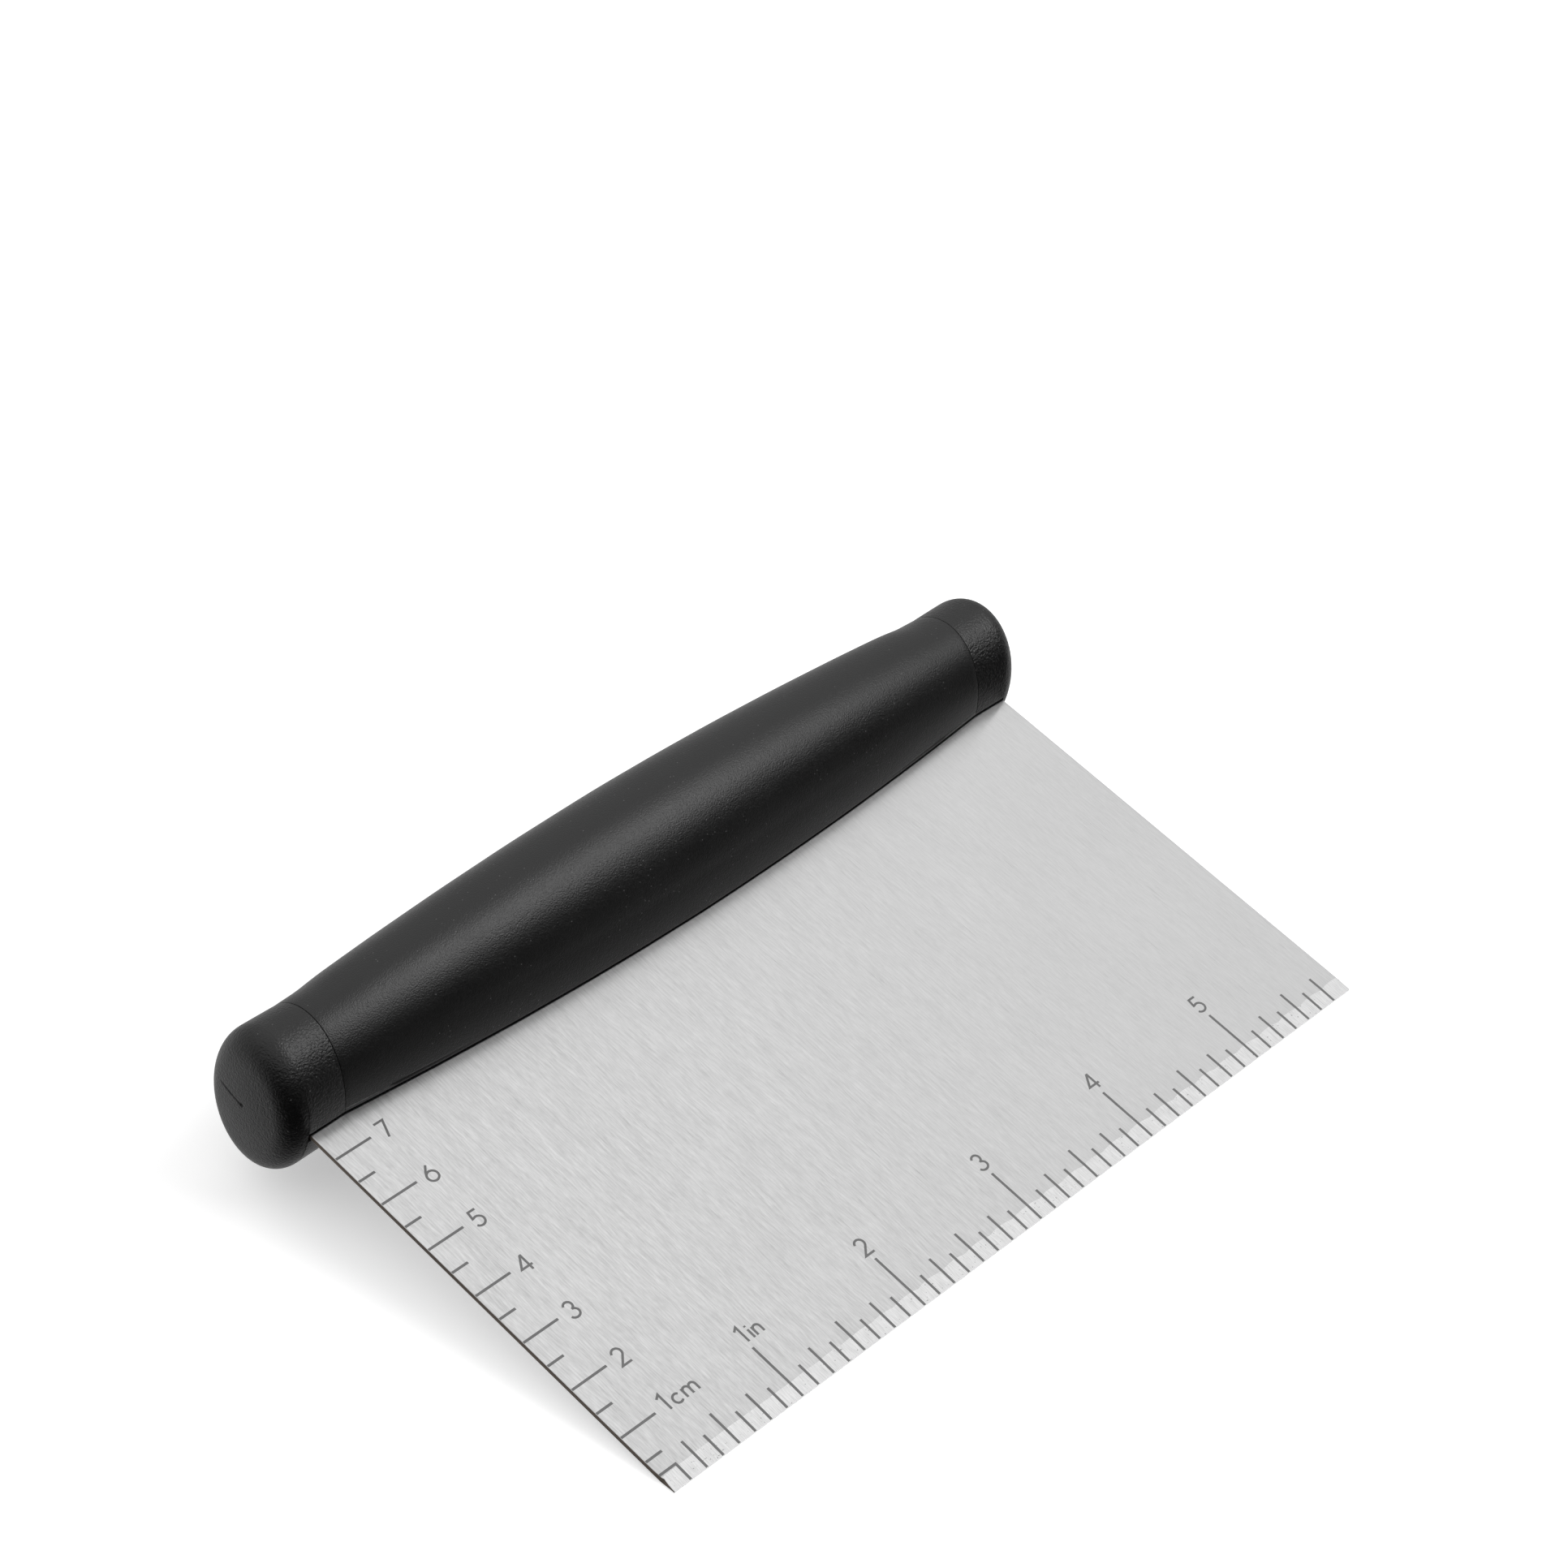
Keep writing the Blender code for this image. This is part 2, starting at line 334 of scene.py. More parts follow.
def nicked(x, y):
    """X moved in where the left corner's burr has broken off the ruled face."""
    near_side = max(0.0, 1 - (x + BLADE_WIDTH / 2) / COLUMN_PITCH)
    place = y / GROUND_STRIP
    return x + NICK_DEPTH * near_side * place**2 * min(1.0, max(0.0, 1 - place) * NICK_STEEPNESS)


def shear_drop(x):
    """How much a sheared side rounds off next to its corner."""
    inset = min(1.0, (BLADE_WIDTH / 2 - abs(x)) / SHEAR_ROUNDING)
    return SHEAR_ROUNDING * (1 - math.sqrt(1 - (1 - inset) ** 2))


def blade_columns():
    """X of each column of the sheet, closer together where the sheared sides round off."""
    half = BLADE_WIDTH / 2
    rounding = [half - SHEAR_ROUNDING * (1 - math.sin(math.radians(a))) for a in (30, 60, 90)]
    inner = steps(-half + COLUMN_PITCH, half - COLUMN_PITCH, COLUMN_PITCH)
    start = [-x for x in reversed(rounding)]
    near = half - SHEAR_ROUNDING
    return start + [-near] + inner + [near] + rounding


def blade_row_heights(x):
    """Y of each row at x: the strip's rows follow its wavy top, and the rest are straight."""
    top = strip_height(x)
    rows = [top * j / STRIP_ROWS for j in range(STRIP_ROWS + 1)]
    rows[0] += EDGE_RAGGEDNESS * (1 + wave(x / MM, 1.0))
    rows += steps(FIRST_PLAIN_ROW, CLEAR_OF_GRIP_Y, ROW_PITCH)
    return rows + [SHOULDER_Y, TANG_TOP_Y]


def build_blade(materials):
    """The sheet: two faces as grids of cells, joined round their rims, with a steel for each."""
    columns = blade_columns()
    rows = [blade_row_heights(x) for x in columns]
    height = len(rows[0])
    front, back = [], []
    for x, ys in zip(columns, rows):
        for y in ys:
            drop = shear_drop(x)
            front.append((nicked(x, y), y, front_z(x, y) - drop))
            back.append((x, y, back_z(y) + drop))
    offset = len(front)
    shoulder_row = height - 2
    faces, kinds, edges = [], [], []
    for i in range(len(columns) - 1):
        in_tang = abs(columns[i] + columns[i + 1]) / 2 < TANG_HALF_WIDTH
        for j in range(height - 1):
            if j >= shoulder_row and not in_tang:
                continue
            a, b = i * height + j, (i + 1) * height + j
            cell = (a, b, b + 1, a + 1)
            faces.append(cell)
            kinds.append(GROUND if j < STRIP_ROWS else BRUSHED)
            faces.append(tuple(k + offset for k in reversed(cell)))
            kinds.append(BRUSHED)
            edges += zip(cell, cell[1:] + cell[:1])
    directed = set(edges)
    for start, end in edges:
        if (end, start) not in directed:
            faces.append((end, start, start + offset, end + offset))
            # The rim faces along the scraping edge take the edge material, whose near-white colour is a
            # painted reflection of the table
            kinds.append(EDGE if start % height == end % height == 0 else SHEARED)
    blade = add_piece("blade_sheet", front + back, faces, materials, ["blade"])
    for polygon, kind in zip(blade.data.polygons, kinds):
        polygon.material_index = kind
    cut_rivet_holes(blade)
    lay_out_grain(blade)


def rivet_places():
    """X of each rivet in the blade's frame, from the CAD."""
    return [sum(corner.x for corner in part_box(name)) / 2 for name in frame["nodes"] if "rivet" in name]


def cut_rivet_holes(blade):
    """The holes in the tang that the rivets go through."""
    holes = []
    for x in rivet_places():
        rings = []
        for z in (-BLADE_THICKNESS, BLADE_THICKNESS):
            turns = [2 * math.pi * i / HOLE_SEGMENTS for i in range(HOLE_SEGMENTS)]
            r = RIVET_HOLE_RADIUS
            rings.append([(x + r * math.cos(t), GRIP_Y + r * math.sin(t), z) for t in turns])
        points = [point for ring in rings for point in ring]
        holes.append(add_object("hole_cutter", points, loft_faces(rings), []))
    for hole in holes:
        modifier = blade.modifiers.new("hole", "BOOLEAN")
        modifier.operation = "DIFFERENCE"
        modifier.solver = "EXACT"
        modifier.object = hole
    bpy.context.view_layer.update()
    graph = bpy.context.evaluated_depsgraph_get()
    drilled = bpy.data.meshes.new_from_object(blade.evaluated_get(graph))
    blade.modifiers.clear()
    blade.data = drilled
    for hole in holes:
        bpy.data.objects.remove(hole, do_unlink=True)


# ---------------------------------------------------------------- grip


def oval_point(half_height, turn, inset=0.0):
    """(y, z) on the oval, where turn 0 faces away from the blade and a half turn faces it."""
    y = GRIP_Y + (half_height - inset) * math.cos(turn)
    return (y, (half_height * OVALITY - inset) * math.sin(turn))


def flare(z):
    """The share of a lip's reach at that height, from 0 where the skin starts to flare."""
    height = (FLARE_START_Z - abs(z)) / (FLARE_START_Z - SLOT_HALF_DEPTH)
    return min(1.0, max(0.0, height)) ** FLARE_POWER


def lip_points(groove):
    """(depth below the skin, z) down a lip: a fine groove, then a rounded corner at the slot."""
    top, floor = LIP_GROOVE_HALF_WIDTH, LIP_GROOVE_FLOOR_HALF_WIDTH
    across = [(0.0, top), (groove, floor), (groove, -floor), (0.0, -top)]
    points = [(depth, LIP_GROOVE_Z + height) for depth, height in across]
    for turn in steps(0.0, math.pi / 2, math.pi / 12):
        depth = LIP_ROUNDING * (1 - math.cos(turn))
        points.append((depth, SLOT_HALF_DEPTH + LIP_ROUNDING * (1 - math.sin(turn))))
    return points


def slotted_outline(half_height, inset=0.0, reach=FLARE_REACH_AT_SEAM, groove=0.0):
    """(y, z) round the outside from one slot wall to the other, with a shaped lip at each."""
    lip_turn = math.pi - math.asin(LIP_START_Z / (half_height * OVALITY - inset))
    sweep = []
    for i in range(SWEEP_STEPS + 1):
        turn = lip_turn * (2 * i / SWEEP_STEPS - 1)
        y, z = oval_point(half_height, turn, inset)
        forward = reach * flare(z) if math.cos(turn) < 0 else 0.0
        sweep.append((y - forward, z))
    lip = []
    for depth, z in lip_points(groove):
        turn = math.pi - math.asin(z / (half_height * OVALITY - inset))
        lip.append((oval_point(half_height, turn, inset)[0] - reach * flare(z) + depth, z))
    return [(y, -z) for y, z in reversed(lip)] + sweep + lip


def closed_outline(half_height):
    """(y, z) of the whole oval, with as many points as a slotted outline and its slot floor."""
    count = SWEEP_STEPS + 2 * len(lip_points(0.0)) + 3
    turns = [math.pi * (2 * (i + 0.5) / count - 1) for i in range(count)]
    return [oval_point(half_height, turn) for turn in turns]


def barrel_half_height(x):
    """The barrel's half height: fullest in the middle, and slimmer towards the seams."""
    slimming = (abs(x) / SEAM_X) ** BARREL_POWER
    return BARREL_HALF_HEIGHT + (SEAM_HALF_HEIGHT - BARREL_HALF_HEIGHT) * slimming


def flare_reach(x):
    """How far the lips stand forward: most in the middle, and hardly at all at the seams."""
    return FLARE_REACH + (FLARE_REACH_AT_SEAM - FLARE_REACH) * (x / SEAM_X) ** 2


def lip_groove(x):
    """Depth of the groove above the lips, which only shows towards the seams."""
    share = (abs(x) - LIP_GROOVE_END_X) / (SEAM_X - LIP_GROOVE_END_X)
    return LIP_GROOVE_DEPTH * min(1.0, max(0.0, share))


def bore_outline(count):
    """(y, z) round the bore from one slot wall to the other."""
    slot_turn = math.asin(SLOT_HALF_DEPTH / (BORE_HALF_HEIGHT * OVALITY))
    turns = [(math.pi - slot_turn) * (2 * i / (count - 1) - 1) for i in range(count)]
    return [oval_point(BORE_HALF_HEIGHT, turn) for turn in turns]


def moulded(x, y, z):
    """The point as moulded: an uneven skin, a sink beside each seam and a dimple on each cap."""
    out = Vector((0.0, (y - GRIP_Y) * OVALITY**2, z)).normalized()
    depth = SKIN_WAVE * wave(x / SKIN_WAVE_LENGTH, y / SKIN_WAVE_WIDTH, z / SKIN_WAVE_WIDTH)
    along = (abs(x) - SINK_X) / SINK_HALF_LENGTH
    around = (math.atan2(z / OVALITY, y - GRIP_Y) - SINK_TURN) / SINK_HALF_TURN
    depth -= SINK_DEPTH * math.exp(-(along**2) - around**2)
    from_dimple = (Vector((abs(x), y, z)) - DIMPLE).length
    depth -= DIMPLE_DEPTH * math.exp(-((from_dimple / DIMPLE_RADIUS) ** 2))
    return (x, y + out.y * depth, z + out.z * depth)


def gate_mark(y, z):
    """Depth of the gate dot on a cap's end, and of the fine line that leads away from it."""
    along, across = y - GATE_Y, z - GATE_Z - GATE_LINE_SLOPE * (y - GATE_Y)
    dot = math.exp(-((math.hypot(along, across) / GATE_RADIUS) ** 2))
    line = math.exp(-((across / GATE_LINE_HALF_WIDTH) ** 2)) if 0 < along < GATE_LINE_END else 0.0
    return GATE_DEPTH * max(dot, GATE_LINE_SHARE * line * (1 - 0.5 * along / GATE_LINE_END))


def rounded_stations(half_length):
    """(x, inset) along the sleeve, with a rounded arris at each end."""
    plain = half_length - SEAM_ROUNDING
    stations = [(x, 0.0) for x in steps(-plain, plain, STATION_PITCH)]
    arris = []
    for k in range(1, ARRIS_STEPS + 1):
        angle = math.pi / 2 * k / ARRIS_STEPS
        x = half_length - SEAM_ROUNDING * (1 - math.sin(angle))
        arris.append((x, SEAM_ROUNDING * (1 - math.cos(angle))))
    return [(-x, inset) for x, inset in reversed(arris)] + stations + arris


def build_sleeve(material):
    """The barrel: a C-shaped section swept from seam to seam."""
    half_length = SEAM_X - SEAM_GAP / 2
    rings = []
    for x, inset in rounded_stations(half_length):
        outer = slotted_outline(barrel_half_height(x), inset, flare_reach(x), lip_groove(x))
        skin = [moulded(x, y, z) for y, z in outer]
        bore = [(x, y, z) for y, z in bore_outline(len(outer))]
        rings.append(skin + bore[::-1])
    points = [point for ring in rings for point in ring]
    count = len(rings[0])
    faces = loft_faces(rings)[:-2]
    for first in (0, (len(rings) - 1) * count):
        for i in range(count // 2 - 1):
            j = count - 1 - i
            faces.append((first + i, first + i + 1, first + j - 1, first + j))
    add_piece("grip_barrel", points, faces, [material], ["grip_sleeve"])


def cap_end_profile():
    """(x, half height) of a cap's outside, from its seam over the fillet to the dome's middle."""
    seam_x = SEAM_X + SEAM_GAP / 2
    profile = []
    for k in range(ARRIS_STEPS + 1):
        angle = math.pi / 2 * k / ARRIS_STEPS
        height = SEAM_HALF_HEIGHT - SEAM_ROUNDING * (1 - math.sin(angle))
        profile.append((seam_x + SEAM_ROUNDING * (1 - math.cos(angle)), height))
    fillet_x = GRIP_LENGTH / 2 - CAP_DOME - CAP_FILLET
    face_half_height = CAP_END_HALF_HEIGHT - CAP_FILLET
    body = []
    for x in steps(profile[-1][0], fillet_x, PROFILE_PITCH)[1:]:
        share = (x - profile[-1][0]) / (fillet_x - profile[-1][0])
        body.append((x, SEAM_HALF_HEIGHT + (CAP_END_HALF_HEIGHT - SEAM_HALF_HEIGHT) * share))
    for turn in steps(0.0, math.pi / 2 - CAP_FACE_TILT, PROFILE_PITCH / CAP_FILLET)[1:]:
        x = fillet_x + CAP_FILLET * math.sin(turn)
        body.append((x, face_half_height + CAP_FILLET * math.cos(turn)))
    rim_x, rim = body[-1]
    for inward in steps(0.0, 1.0, PROFILE_PITCH / rim)[1:-1]:
        x = rim_x + rim * math.tan(CAP_FACE_TILT) / 2 * (1 - (1 - inward) ** 2)
        body.append((x, rim * (1 - inward)))
    for _ in range(PROFILE_SMOOTHING):
        middle = [
            tuple((a[n] + 2 * b[n] + c[n]) / 4 for n in (0, 1))
            for a, b, c in zip(body, body[1:], body[2:])
        ]
        body = [body[0]] + middle + [body[-1]]
    return profile + body


def cap_ring(x, half_height, slotted):
    """The points of one section of a cap, cut out down to the slot's floor if it is slotted."""
    if not slotted:
        return [(x, y, z) for y, z in closed_outline(half_height)]
    outline = slotted_outline(half_height)
    first, last = (SLOT_FLOOR_Y, outline[0][1]), (SLOT_FLOOR_Y, outline[-1][1])
    return [(x, y, z) for y, z in [first] + outline + [last]]


def build_cap(name, side, material, node):
    """A cap with its spigot, slotted where it takes the corner of the blade."""
    seam_x = SEAM_X + SEAM_GAP / 2
    rings = [cap_ring(x, SPIGOT_HALF_HEIGHT, True) for x in (SPIGOT_X, seam_x)]
    profile = cap_end_profile()
    before = [(x, h) for x, h in profile if x < SLOT_END_X - PROFILE_PITCH / 2]
    after = [(x, h) for x, h in profile if x >= SLOT_END_X + PROFILE_PITCH / 2]
    slot_end_height = (before[-1][1] + after[0][1]) / 2
    before.append((SLOT_END_X, slot_end_height))
    after.insert(0, (SLOT_END_X + SLOT_END_STEP, slot_end_height))
    rings += [cap_ring(x, h, True) for x, h in before]
    rings += [
        [(px - gate_mark(y, z), y, z) for px, y, z in cap_ring(x, h, False)] for x, h in after
    ]
    rings = [[(side * x, y, z) for x, y, z in ring] for ring in rings]
    points = [moulded(*point) for ring in rings for point in ring]
    add_piece(name, points, loft_faces(rings), [material], [node])


# ---------------------------------------------------------------- ruler marks


def subdivided(line, pitch):
    """The polyline with points added so that none are more than pitch apart."""
    points = [line[0]]
    for (ax, ay), (bx, by) in zip(line, line[1:]):
        count = max(1, math.ceil(math.hypot(bx - ax, by - ay) / pitch))
        shares = [i / count for i in range(1, count + 1)]
        points += [(ax + (bx - ax) * share, ay + (by - ay) * share) for share in shares]
    return points


def mitre_normals(line):
    """For each point of the polyline, the sideways step that keeps a ribbon's width even."""
    directions = [Vector((b[0] - a[0], b[1] - a[1])).normalized() for a, b in zip(line, line[1:])]
    normals = [Vector((-d.y, d.x)) for d in directions]
    result = [normals[0]]
    for before, after in zip(normals, normals[1:]):
        middle = (before + after).normalized()
        result.append(middle * min(MITRE_LIMIT, 1 / max(1e-6, middle.dot(before))))
    return result + [normals[-1]]


def ribbon(line, width, lift):
    """Rings of a low solid ribbon that follows the ruled face along the polyline."""
    rings = []
    for (x, y), normal in zip(line, mitre_normals(line)):
        side = normal * (width / 2)
        left, right = (x + side.x, y + side.y), (x - side.x, y - side.y)
        corners = [(left, lift), (right, lift), (right, -MARK_SINK), (left, -MARK_SINK)]
        rings.append([(px, py, front_z(px, py) + height) for (px, py), height in corners])
    return rings


def add_marks(name, lines, width, material):
    """One piece from many polylines, where every other line lies a hair lower in case they meet."""
    points, faces = [], []
    for index, line in enumerate(lines):
        lift = MARK_LIFT - MARK_STAGGER * (index % 2)
        rings = ribbon(line, width, lift)
        faces += loft_faces(rings, len(points))
        points += [point for ring in rings for point in ring]
    add_piece(name, points, faces, [material])


def inch_tick_lines():
    """A tick each eighth of an inch along the edge, and the square that marks the first."""
    left = -BLADE_WIDTH / 2
    eighth = INCH / 8
    corner = (left + eighth, eighth)
    square = [(left + MARK_SIDE_INSET, eighth), corner, (left + eighth, MARK_EDGE_INSET)]
    lines = [subdivided(square, MARK_STEP)]
    for count in range(2, INCH_MARKS + 1):
        length = next(INCH_TICKS[step] for step in (8, 4, 2, 1) if count % step == 0)
        x = left + count * eighth
        lines.append(subdivided([(x, MARK_EDGE_INSET), (x, length)], MARK_STEP))
    return lines


def cm_tick_lines():
    """A tick each half centimetre up the left side."""
    left = -BLADE_WIDTH / 2
    lines = []
    for half_cm in range(1, HALF_CM_MARKS + 1):
        length = CM_TICK if half_cm % 2 == 0 else HALF_CM_TICK
        y = CM_ZERO_Y + half_cm * CM / 2
        lines.append([(left + MARK_SIDE_INSET, y), (left + length, y)])
    return lines


def arc(cx, cy, rx, ry, start, end):
    """Points on an ellipse, from one angle to the other in degrees."""
    count = round(abs(end - start) / ARC_STEP_DEGREES)
    angles = [math.radians(start + (end - start) * i / count) for i in range(count + 1)]
    return [(cx + rx * math.cos(a), cy + ry * math.sin(a)) for a in angles]


def glyph(character):
    """(width, strokes) of a monoline character, in units of the numerals' height."""
    strokes = {
        "1": (0.45, [[(0.02, 0.80), (0.26, 0.98), (0.26, 0.0)]]),
        "2": (0.64, [arc(0.31, 0.70, 0.27, 0.28, 165, -38) + [(0.05, 0.0), (0.64, 0.0)]]),
        "3": (0.62, [arc(0.30, 0.74, 0.24, 0.24, 160, -80), arc(0.30, 0.27, 0.29, 0.26, 80, -160)]),
        "4": (0.70, [[(0.52, 0.0), (0.52, 1.0)], [(0.50, 0.98), (0.02, 0.27), (0.70, 0.27)]]),
        "5": (0.62, [[(0.58, 0.98), (0.16, 0.98), (0.10, 0.56)] + arc(0.31, 0.31, 0.30, 0.29, 118, -150)]),
        "6": (0.66, [arc(0.33, 0.31, 0.31, 0.31, 150, -210), [(0.045, 0.42), (0.17, 0.66), (0.44, 1.0)]]),
        "7": (0.58, [[(0.0, 0.98), (0.56, 0.98), (0.18, 0.0)]]),
        "c": (0.52, [arc(0.27, 0.26, 0.25, 0.26, 45, 315)]),
        "i": (0.06, [[(0.03, 0.0), (0.03, 0.54)], [(0.03, 0.70), (0.03, 0.79)]]),
        "n": (
            0.46,
            [
                [(0.03, 0.0), (0.03, 0.54)],
                [(0.03, 0.30)] + arc(0.235, 0.32, 0.20, 0.21, 165, 0) + [(0.435, 0.0)],
            ],
        ),
        "m": (
            0.84,
            [
                [(0.03, 0.0), (0.03, 0.54)],
                [(0.03, 0.30)] + arc(0.225, 0.33, 0.19, 0.20, 165, 0) + [(0.415, 0.0)],
                [(0.425, 0.30)] + arc(0.615, 0.33, 0.19, 0.20, 165, 0) + [(0.805, 0.0)],
            ],
        ),
    }
    return strokes[character]


def text_lines(text, centre_x, centre_y):
    """The strokes of a short text, with the numerals' height centred on the point."""
    width = sum(glyph(character)[0] for character in text) + LETTER_SPACING * (len(text) - 1)
    pen = centre_x - width * NUMERAL_HEIGHT / 2
    base = centre_y - NUMERAL_HEIGHT / 2
    lines = []
    for character in text:
        glyph_width, strokes = glyph(character)
        for stroke in strokes:
            lines.append([(pen + x * NUMERAL_HEIGHT, base + y * NUMERAL_HEIGHT) for x, y in stroke])
        pen += (glyph_width + LETTER_SPACING) * NUMERAL_HEIGHT
    return lines


def inch_numeral_lines():
    """The whole inches, each above its tick, and the first one with its unit."""
    y = INCH_TICKS[8] + INCH_NUMERAL_RISE
    lines = text_lines("1in", INCH - BLADE_WIDTH / 2 + INCH_LABEL_SHIFT, y)
    for inch in range(2, INCH_MARKS // 8 + 1):
        lines += text_lines(str(inch), inch * INCH - BLADE_WIDTH / 2, y)
    return lines


def cm_numeral_lines():
    """The whole centimetres, each beside its tick, and the first one with its unit."""
    end = CM_TICK - BLADE_WIDTH / 2
    lines = text_lines("1cm", end + CM_LABEL_SHIFT, CM_ZERO_Y + CM + CM_LABEL_RISE)
    for count in range(2, HALF_CM_MARKS // 2 + 1):
        lines += text_lines(str(count), end + CM_NUMERAL_SHIFT, CM_ZERO_Y + count * CM)
    return lines


# ---------------------------------------------------------------- materials


def add_node(tree, kind, inputs=None, **settings):
    """A shader node with its sockets linked or set."""
    node = tree.nodes.new(kind)
    for name, value in settings.items():
        setattr(node, name, value)
    for name, value in (inputs or {}).items():
        if isinstance(value, bpy.types.NodeSocket):
            tree.links.new(value, node.inputs[name])
        else:
            node.inputs[name].default_value = value
    return node


def new_material(name):
    """(material, its node tree, its shader)"""
    material = bpy.data.materials.new(name)
    material.use_nodes = True
    return material, material.node_tree, material.node_tree.nodes["Principled BSDF"]


def calculate(tree, operation, a, b):
    """The result of a Math node."""
    return add_node(tree, "ShaderNodeMath", {0: a, 1: b}, operation=operation).outputs[0]


def places(tree):
    """The place on the surface, in the frame that its object stands in."""
    return add_node(tree, "ShaderNodeTexCoord").outputs["Object"]


def stretched(tree, vector, size):
    """The vector in units of a grain of that size in X, Y and Z."""
    inverse = tuple(1 / s for s in size)
    return add_node(tree, "ShaderNodeVectorMath", {0: vector, 1: inverse}, operation="MULTIPLY").outputs[0]


def grain(tree, vector, size, detail=2.0):
    """Noise about 0, roughly from -0.5 to 0.5, with grains of that size."""
    inputs = {"Vector": stretched(tree, vector, size), "Scale": 1.0, "Detail": detail}
    value = add_node(tree, "ShaderNodeTexNoise", inputs).outputs[0]
    return calculate(tree, "SUBTRACT", value, 0.5)


def blend(tree, base, *terms):
    """base plus each (value, weight)."""
    total = base
    for value, weight in terms:
        scaled = calculate(tree, "MULTIPLY", value, weight)
        total = calculate(tree, "ADD", scaled, total)
    return total


def ramp(tree, value, low, high):
    """0 at low and 1 at high, level past them and smooth between; it falls if low is larger."""
    inputs = {"Value": value, "From Min": low, "From Max": high}
    return add_node(tree, "ShaderNodeMapRange", inputs, interpolation_type="SMOOTHSTEP").outputs[0]


def bump(tree, height, distance):
    """A normal for a surface that rises by distance where height is 1."""
    inputs = {"Height": height, "Distance": distance, "Strength": 1.0}
    return add_node(tree, "ShaderNodeBump", inputs).outputs[0]


def wandering(tree, vector):
    """The vector, shifted sideways a little so that long grain isn't ruler-straight."""
    shift = grain(tree, vector, (6 * MM, 30 * MM, 6 * MM), 1.0)
    sideways = calculate(tree, "MULTIPLY", shift, 1.4 * MM)
    offset = add_node(tree, "ShaderNodeCombineXYZ", {"X": sideways}).outputs[0]
    return add_node(tree, "ShaderNodeVectorMath", {0: vector, 1: offset}, operation="ADD").outputs[0]


def spread_across_grain(tree, shader):
    """Brushing spreads reflections across the grain and leaves them crisper along it."""
    shader.inputs["Anisotropic"].default_value = 1.0
    across = add_node(tree, "ShaderNodeTangent", direction_type="UV_MAP", uv_map="grain")
    tree.links.new(across.outputs[0], shader.inputs["Tangent"])


def brushed_steel():
    """Grain brushed from grip to edge, strongest at the left: streaks, clouds and scratches."""
    material, tree, shader = new_material("brushed_steel")
    where = wandering(tree, places(tree))
    fine = grain(tree, where, (0.22 * MM, 3.2 * MM, 0.22 * MM), 3.0)
    short = grain(tree, where, (0.26 * MM, 1.2 * MM, 0.26 * MM), 2.0)
    broad = grain(tree, where, (0.8 * MM, 9 * MM, 0.8 * MM), 3.0)
    clouds = grain(tree, where, (6 * MM, 20 * MM, 6 * MM), 2.0)
    scratch = ramp(tree, grain(tree, where, (0.25 * MM, 7 * MM, 0.25 * MM), 1.0), 0.20, 0.27)
    x = add_node(tree, "ShaderNodeSeparateXYZ", {"Vector": places(tree)}).outputs["X"]
    rightwards = ramp(tree, x, -BLADE_WIDTH / 2, BLADE_WIDTH / 2)
    depth = blend(tree, STREAKS_AT_LEFT, (rightwards, -STREAKS_LOST_BY_RIGHT))
    even_streaks = blend(tree, 0.0, (fine, 0.32), (short, 0.14), (broad, 0.16))
    streaks = calculate(tree, "MULTIPLY", even_streaks, depth)
    colour = blend(tree, STEEL_GREY, (streaks, 1.0), (clouds, 0.08), (scratch, -0.10))
    tree.links.new(colour, shader.inputs["Base Color"])
    roughness = blend(tree, STEEL_ROUGHNESS, (fine, 0.06), (broad, 0.06), (clouds, 0.04))
    tree.links.new(roughness, shader.inputs["Roughness"])
    shader.inputs["Metallic"].default_value = 1.0
    spread_across_grain(tree, shader)
    height = blend(tree, fine, (broad, 0.7), (scratch, -0.6))
    tree.links.new(bump(tree, height, 0.0025 * MM), shader.inputs["Normal"])
    return material


def ground_steel():
    """The ground strip: brighter, in patches that follow the grinding."""
    material, tree, shader = new_material("ground_steel")
    where = places(tree)
    fine = grain(tree, where, (0.14 * MM, 2.2 * MM, 0.4 * MM), 3.0)
    patches = grain(tree, where, (3.4 * MM, 3 * MM, 3 * MM), 2.0)
    pits = ramp(tree, grain(tree, where, (0.30 * MM, 0.26 * MM, 0.3 * MM), 0.0), 0.27, 0.33)
    colour = blend(tree, STRIP_GREY, (fine, 0.65), (patches, 0.24), (pits, -0.40))
    tree.links.new(colour, shader.inputs["Base Color"])
    roughness = blend(tree, STRIP_ROUGHNESS, (fine, 0.10), (patches, 0.10))
    tree.links.new(roughness, shader.inputs["Roughness"])
    shader.inputs["Metallic"].default_value = 1.0
    spread_across_grain(tree, shader)
    height = blend(tree, fine, (patches, 0.5), (pits, -1.5))
    tree.links.new(bump(tree, height, 0.004 * MM), shader.inputs["Normal"])
    return material


def edge_steel():
    """The lip of the scraping edge: a near-white matt non-metal whose brightness is a painted reflection
    of the white table, with a fine grain.
    """
    material, tree, shader = new_material("edge_steel")
    where = places(tree)
    fine = grain(tree, where, (0.4 * MM, 0.2 * MM, 0.1 * MM), 3.0)
    # Near-white base colour: painted reflection of the white table on the edge's rim
    tree.links.new(blend(tree, EDGE_PAINTED_REFLECTION_GREY, (fine, 0.20)), shader.inputs["Base Color"])
    tree.links.new(blend(tree, 0.45, (fine, 0.20)), shader.inputs["Roughness"])
    shader.inputs["Metallic"].default_value = 0.0
    tree.links.new(bump(tree, fine, 0.004 * MM), shader.inputs["Normal"])
    return material


